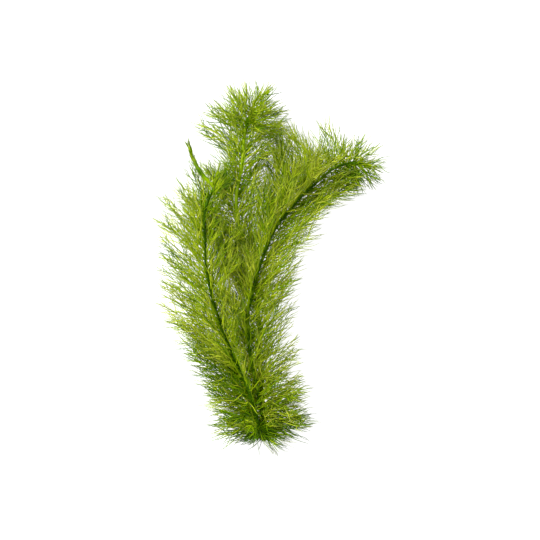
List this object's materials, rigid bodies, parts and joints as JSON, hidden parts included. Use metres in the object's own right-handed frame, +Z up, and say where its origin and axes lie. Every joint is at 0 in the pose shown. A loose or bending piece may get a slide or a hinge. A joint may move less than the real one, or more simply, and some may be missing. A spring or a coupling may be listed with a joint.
{
  "type": "myriophyllum, a stem plant for an aquarium",
  "caption": "Feathery water milfoil lying down: leafy green stems that fork from one short rooted crown, with whorls of fine pinnate leaves.",
  "frame": {"origin": "on the surface the plant lies on, under the middle of its bounding box", "axes": "+Y from the rooted crown towards the shoot tips, +Z up from the surface, +X to the plant's right seen from above"},
  "size_m": [0.1236, 0.203, 0.0402],
  "materials": {
    "leaf": "matte, translucent, fresh green",
    "young_leaf": "matte, translucent, light green",
    "stem": "smooth, dark green",
    "crown": "rough, brownish green"
  },
  "bodies": {
    "root": {"crown": "crown", "stem_left": "stem", "stem_right": "stem", "stem_top": "stem", "whorl_left_01": "leaf", "whorl_left_02": "leaf", "whorl_left_03": "leaf", "whorl_left_04": "leaf", "whorl_left_05": "leaf", "whorl_left_06": "leaf", "whorl_left_07": "leaf", "whorl_left_08": "leaf", "whorl_left_09": "leaf", "whorl_left_10": "leaf", "whorl_left_11": "leaf", "whorl_left_12": "leaf", "whorl_left_13": "leaf", "whorl_left_14": "leaf", "whorl_left_15": "leaf", "whorl_left_16": "leaf", "whorl_right_01": "leaf", "whorl_right_02": "leaf", "whorl_right_03": "leaf", "whorl_right_04": "leaf", "whorl_right_05": "leaf", "whorl_right_06": "leaf", "whorl_right_07": "leaf", "whorl_right_08": "leaf", "whorl_right_09": "leaf", "whorl_right_10": "leaf", "whorl_right_11": "leaf", "whorl_right_12": "leaf", "whorl_right_13": "leaf", "whorl_right_14": "leaf", "whorl_right_15": "leaf", "whorl_right_16": "leaf", "whorl_right_17": "leaf", "whorl_right_18": "leaf", "whorl_top_01": "leaf", "whorl_top_02": "leaf", "whorl_top_03": "leaf", "whorl_top_04": "leaf", "whorl_top_05": "leaf", "whorl_top_06": "leaf", "whorl_top_07": "leaf", "whorl_top_08": "leaf", "whorl_top_09": "leaf", "whorl_top_10": "leaf", "whorl_top_11": "leaf", "whorl_top_12": "leaf", "whorl_top_13": "leaf", "whorl_top_14": "leaf", "whorl_top_15": "leaf", "whorl_top_16": "leaf", "whorl_top_17": "leaf", "whorl_top_18": "leaf", "shoot_tip_left": "young_leaf", "shoot_tip_right": "young_leaf", "shoot_tip_top": "young_leaf"}
  },
  "joints": []
}
